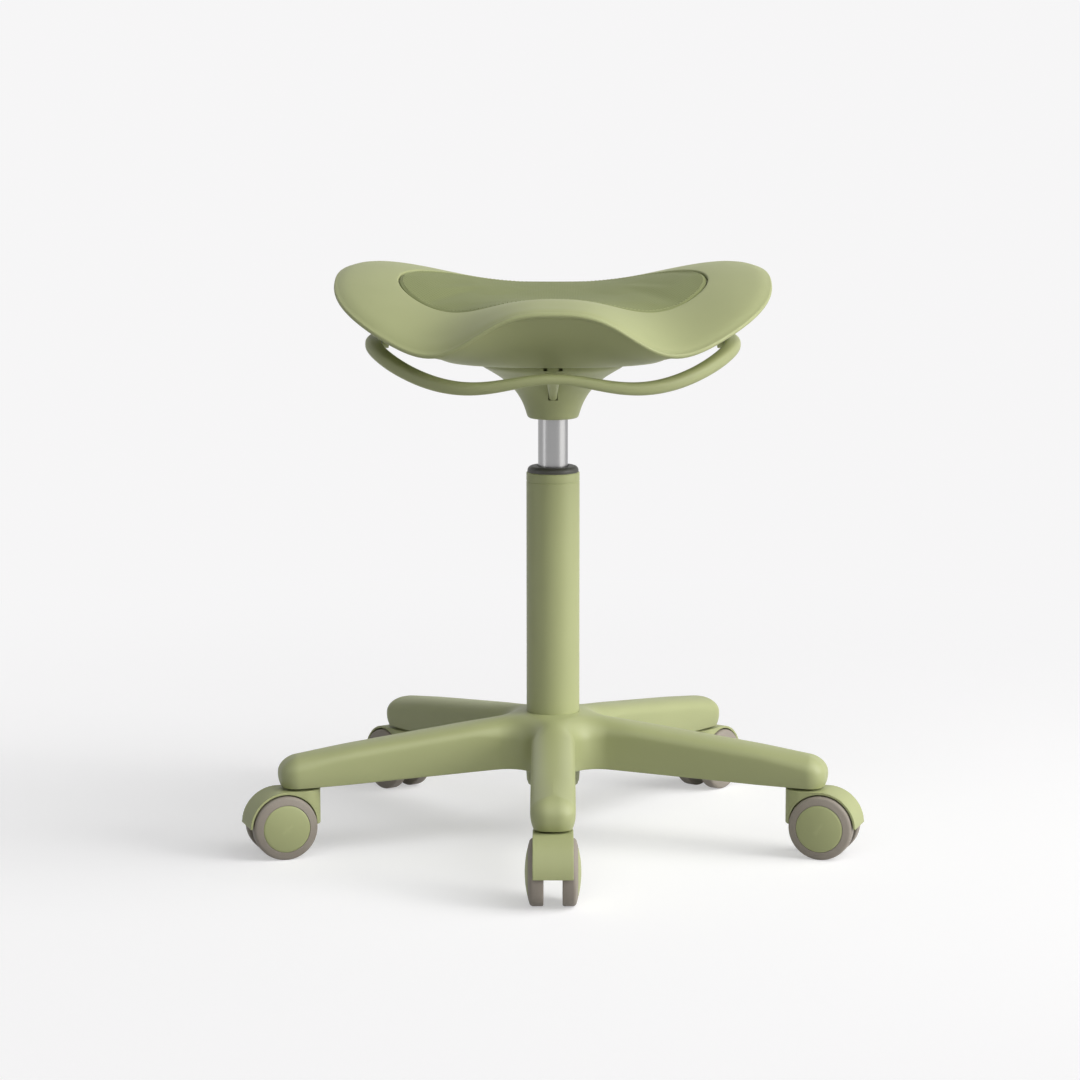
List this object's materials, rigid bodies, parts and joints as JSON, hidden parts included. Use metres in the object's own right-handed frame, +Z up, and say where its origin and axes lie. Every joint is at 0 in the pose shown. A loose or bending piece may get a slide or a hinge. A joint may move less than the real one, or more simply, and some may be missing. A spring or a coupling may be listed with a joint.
{
  "type": "saddle stool",
  "caption": "Height-adjustable saddle stool: a winged seat with a loop lever under it, on a gas lift, a slim column and a five-armed base with twin-wheel casters.",
  "frame": {"origin": "on the floor, on the axis of the column", "axes": "+Z is up along the column, -Y is the front of the seat, +X is across the seat, which is the widest way of the stool"},
  "size_m": [0.5798, 0.5515, 0.5411],
  "materials": {
    "sage_plastic": "moulded nylon in a soft leaf green, fine satin grain",
    "sage_metal": "powder coated in the same leaf green",
    "sage_foam": "soft moulded pad skin with a fine ribbed and dotted grain",
    "steel": "satin ground steel",
    "dark_steel": "blackened steel",
    "dark_plastic": "dark acetal",
    "tyre": "soft grey-brown tread",
    "brass": "turned"
  },
  "bodies": {
    "base": {"base_star": "sage_plastic", "column_tube": "sage_metal", "column_collar": "dark_plastic", "guide_sleeve": "dark_plastic", "lower_race": "steel", "bearing_balls": "steel", "stem_sleeves": "dark_plastic", "caster_stems": "steel"},
    "spindle": {"piston_rod": "steel", "piston": "dark_plastic", "upper_race": "steel", "rod_clip": "dark_steel"},
    "seat": {"lift_cylinder": "steel", "rod_guide": "dark_plastic", "valve_body": "steel", "mechanism_housing": "sage_metal", "seat_plate": "steel", "under_shell": "sage_plastic", "seat_shell": "sage_plastic", "seat_pad": "sage_foam", "plate_screws": "dark_steel", "shell_screws": "dark_steel", "lever_pins": "steel", "crank_pin": "steel"},
    "lever": {"ring_lever": "sage_plastic"},
    "crank": {"valve_crank": "dark_steel"},
    "valve": {"valve_pin": "brass"},
    "caster_1": {"caster_hood_1": "sage_plastic", "caster_axle_1": "steel"},
    "wheel_left_1_body": {"wheel_left_1": "sage_plastic", "tyre_left_1": "tyre"},
    "wheel_right_1_body": {"wheel_right_1": "sage_plastic", "tyre_right_1": "tyre"},
    "caster_2": {"caster_hood_2": "sage_plastic", "caster_axle_2": "steel"},
    "wheel_left_2_body": {"wheel_left_2": "sage_plastic", "tyre_left_2": "tyre"},
    "wheel_right_2_body": {"wheel_right_2": "sage_plastic", "tyre_right_2": "tyre"},
    "caster_3": {"caster_hood_3": "sage_plastic", "caster_axle_3": "steel"},
    "wheel_left_3_body": {"wheel_left_3": "sage_plastic", "tyre_left_3": "tyre"},
    "wheel_right_3_body": {"wheel_right_3": "sage_plastic", "tyre_right_3": "tyre"},
    "caster_4": {"caster_hood_4": "sage_plastic", "caster_axle_4": "steel"},
    "wheel_left_4_body": {"wheel_left_4": "sage_plastic", "tyre_left_4": "tyre"},
    "wheel_right_4_body": {"wheel_right_4": "sage_plastic", "tyre_right_4": "tyre"},
    "caster_5": {"caster_hood_5": "sage_plastic", "caster_axle_5": "steel"},
    "wheel_left_5_body": {"wheel_left_5": "sage_plastic", "tyre_left_5": "tyre"},
    "wheel_right_5_body": {"wheel_right_5": "sage_plastic", "tyre_right_5": "tyre"}
  },
  "joints": [
    {"name": "seat_swivel", "type": "hinge", "parent": "base", "child": "spindle", "pos_m": [0, 0, 0], "axis": [0, 0, 1], "continuous": true},
    {"name": "seat_lift", "type": "slide", "parent": "spindle", "child": "seat", "axis": [0, 0, 1], "range_m": [-0.042, 0.07]},
    {"name": "ring_tilt", "type": "hinge", "parent": "seat", "child": "lever", "pos_m": [0, 0, 0.471], "axis": [-1, 0, 0], "range_deg": [0, 3], "stiffness_Nm_per_rad": 6, "springref_deg": -2.86},
    {"name": "crank_turn", "type": "hinge", "parent": "seat", "child": "crank", "pos_m": [0, -0.022, 0.441], "axis": [-1, 0, 0], "range_deg": [0, 8.01]},
    {"name": "valve_travel", "type": "slide", "parent": "seat", "child": "valve", "axis": [0, 0, -1], "range_m": [0, 0.0032]},
    {"name": "caster_swivel_1", "type": "hinge", "parent": "base", "child": "caster_1", "pos_m": [0, -0.245, 0], "axis": [0, 0, 1], "continuous": true},
    {"name": "wheel_left_spin_1", "type": "hinge", "parent": "caster_1", "child": "wheel_left_1_body", "pos_m": [0, -0.2655, 0.03], "axis": [1, 0, 0], "continuous": true},
    {"name": "wheel_right_spin_1", "type": "hinge", "parent": "caster_1", "child": "wheel_right_1_body", "pos_m": [0, -0.2655, 0.03], "axis": [1, 0, 0], "continuous": true},
    {"name": "caster_swivel_2", "type": "hinge", "parent": "base", "child": "caster_2", "pos_m": [0.23301, -0.07571, 0], "axis": [0, 0, 1], "continuous": true},
    {"name": "wheel_left_spin_2", "type": "hinge", "parent": "caster_2", "child": "wheel_left_2_body", "pos_m": [0.25251, -0.08204, 0.03], "axis": [0.309, 0.9511, 0], "continuous": true},
    {"name": "wheel_right_spin_2", "type": "hinge", "parent": "caster_2", "child": "wheel_right_2_body", "pos_m": [0.25251, -0.08204, 0.03], "axis": [0.309, 0.9511, 0], "continuous": true},
    {"name": "caster_swivel_3", "type": "hinge", "parent": "base", "child": "caster_3", "pos_m": [0.14401, 0.19821, 0], "axis": [0, 0, 1], "continuous": true},
    {"name": "wheel_left_spin_3", "type": "hinge", "parent": "caster_3", "child": "wheel_left_3_body", "pos_m": [0.15606, 0.21479, 0.03], "axis": [-0.809, 0.5878, 0], "continuous": true},
    {"name": "wheel_right_spin_3", "type": "hinge", "parent": "caster_3", "child": "wheel_right_3_body", "pos_m": [0.15606, 0.21479, 0.03], "axis": [-0.809, 0.5878, 0], "continuous": true},
    {"name": "caster_swivel_4", "type": "hinge", "parent": "base", "child": "caster_4", "pos_m": [-0.14401, 0.19821, 0], "axis": [0, 0, 1], "continuous": true},
    {"name": "wheel_left_spin_4", "type": "hinge", "parent": "caster_4", "child": "wheel_left_4_body", "pos_m": [-0.15606, 0.21479, 0.03], "axis": [-0.809, -0.5878, 0], "continuous": true},
    {"name": "wheel_right_spin_4", "type": "hinge", "parent": "caster_4", "child": "wheel_right_4_body", "pos_m": [-0.15606, 0.21479, 0.03], "axis": [-0.809, -0.5878, 0], "continuous": true},
    {"name": "caster_swivel_5", "type": "hinge", "parent": "base", "child": "caster_5", "pos_m": [-0.23301, -0.07571, 0], "axis": [0, 0, 1], "continuous": true},
    {"name": "wheel_left_spin_5", "type": "hinge", "parent": "caster_5", "child": "wheel_left_5_body", "pos_m": [-0.25251, -0.08204, 0.03], "axis": [0.309, -0.9511, 0], "continuous": true},
    {"name": "wheel_right_spin_5", "type": "hinge", "parent": "caster_5", "child": "wheel_right_5_body", "pos_m": [-0.25251, -0.08204, 0.03], "axis": [0.309, -0.9511, 0], "continuous": true}
  ],
  "couplings": [
    {"joint": "crank_turn", "follows": "ring_tilt", "ratio": 2.6667},
    {"joint": "valve_travel", "follows": "ring_tilt", "m_per_rad": 0.06}
  ]
}
